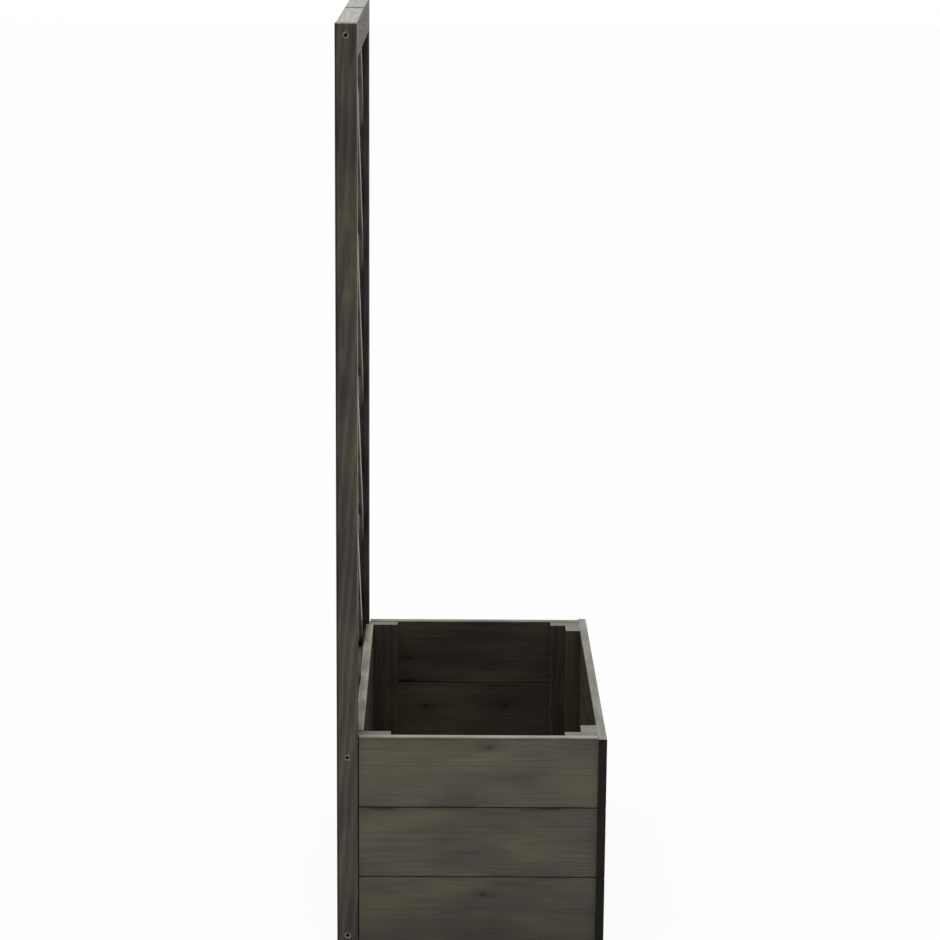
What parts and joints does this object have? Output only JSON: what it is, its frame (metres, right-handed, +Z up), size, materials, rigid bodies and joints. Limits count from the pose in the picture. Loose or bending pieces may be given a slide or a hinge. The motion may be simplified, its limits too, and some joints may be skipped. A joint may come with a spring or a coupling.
{
  "type": "trough planter with trellis",
  "caption": "Stained softwood trough planter of tongue-and-groove boards, with a tall framed lattice trellis along its back for climbing plants.",
  "frame": {"origin": "on the ground, under the middle of the planter's overall box", "axes": "+X along the trough to the right as seen from the front, +Y to the back where the trellis stands, +Z up"},
  "size_m": [0.6, 0.372, 1.276],
  "materials": {
    "post_wood": "dark grey stain on planed softwood",
    "rail_wood": "dark grey stain on planed softwood",
    "lattice_wood": "dark grey stain on thin softwood slats",
    "board_wood": "dark grey stain on planed softwood boards",
    "cleat_wood": "dark grey stain on planed softwood",
    "floor_wood": "dark grey stain on planed softwood",
    "screw_steel": "dark zinc-coated steel",
    "brad_steel": "galvanised wire"
  },
  "bodies": {
    "root": {"back_board_brads": "brad_steel", "back_bottom_board": "board_wood", "back_middle_board": "board_wood", "back_top_board": "board_wood", "base_rail": "rail_wood", "batten_brads": "brad_steel", "bearer_brads": "brad_steel", "cleat_brads": "brad_steel", "corner_brads": "brad_steel", "floor_batten": "floor_wood", "floor_brads": "brad_steel", "floor_slat_1": "floor_wood", "floor_slat_2": "floor_wood", "floor_slat_3": "floor_wood", "floor_slat_4": "floor_wood", "floor_slat_5": "floor_wood", "front_bottom_board": "board_wood", "front_middle_board": "board_wood", "front_slat_1": "lattice_wood", "front_slat_2": "lattice_wood", "front_slat_3": "lattice_wood", "front_slat_4": "lattice_wood", "front_slat_5": "lattice_wood", "front_slat_6": "lattice_wood", "front_slat_7": "lattice_wood", "front_top_board": "board_wood", "lattice_brads": "brad_steel", "left_back_cleat": "cleat_wood", "left_batten": "cleat_wood", "left_bearer": "floor_wood", "left_end_bottom_board": "board_wood", "left_end_middle_board": "board_wood", "left_end_top_board": "board_wood", "left_front_cleat": "cleat_wood", "left_post": "post_wood", "lower_rail": "rail_wood", "post_screws": "screw_steel", "rail_screws": "screw_steel", "rear_slat_1": "lattice_wood", "rear_slat_2": "lattice_wood", "rear_slat_3": "lattice_wood", "rear_slat_4": "lattice_wood", "rear_slat_5": "lattice_wood", "rear_slat_6": "lattice_wood", "rear_slat_7": "lattice_wood", "right_back_cleat": "cleat_wood", "right_batten": "cleat_wood", "right_bearer": "floor_wood", "right_end_bottom_board": "board_wood", "right_end_middle_board": "board_wood", "right_end_top_board": "board_wood", "right_front_cleat": "cleat_wood", "right_post": "post_wood", "top_rail": "rail_wood"}
  },
  "joints": []
}
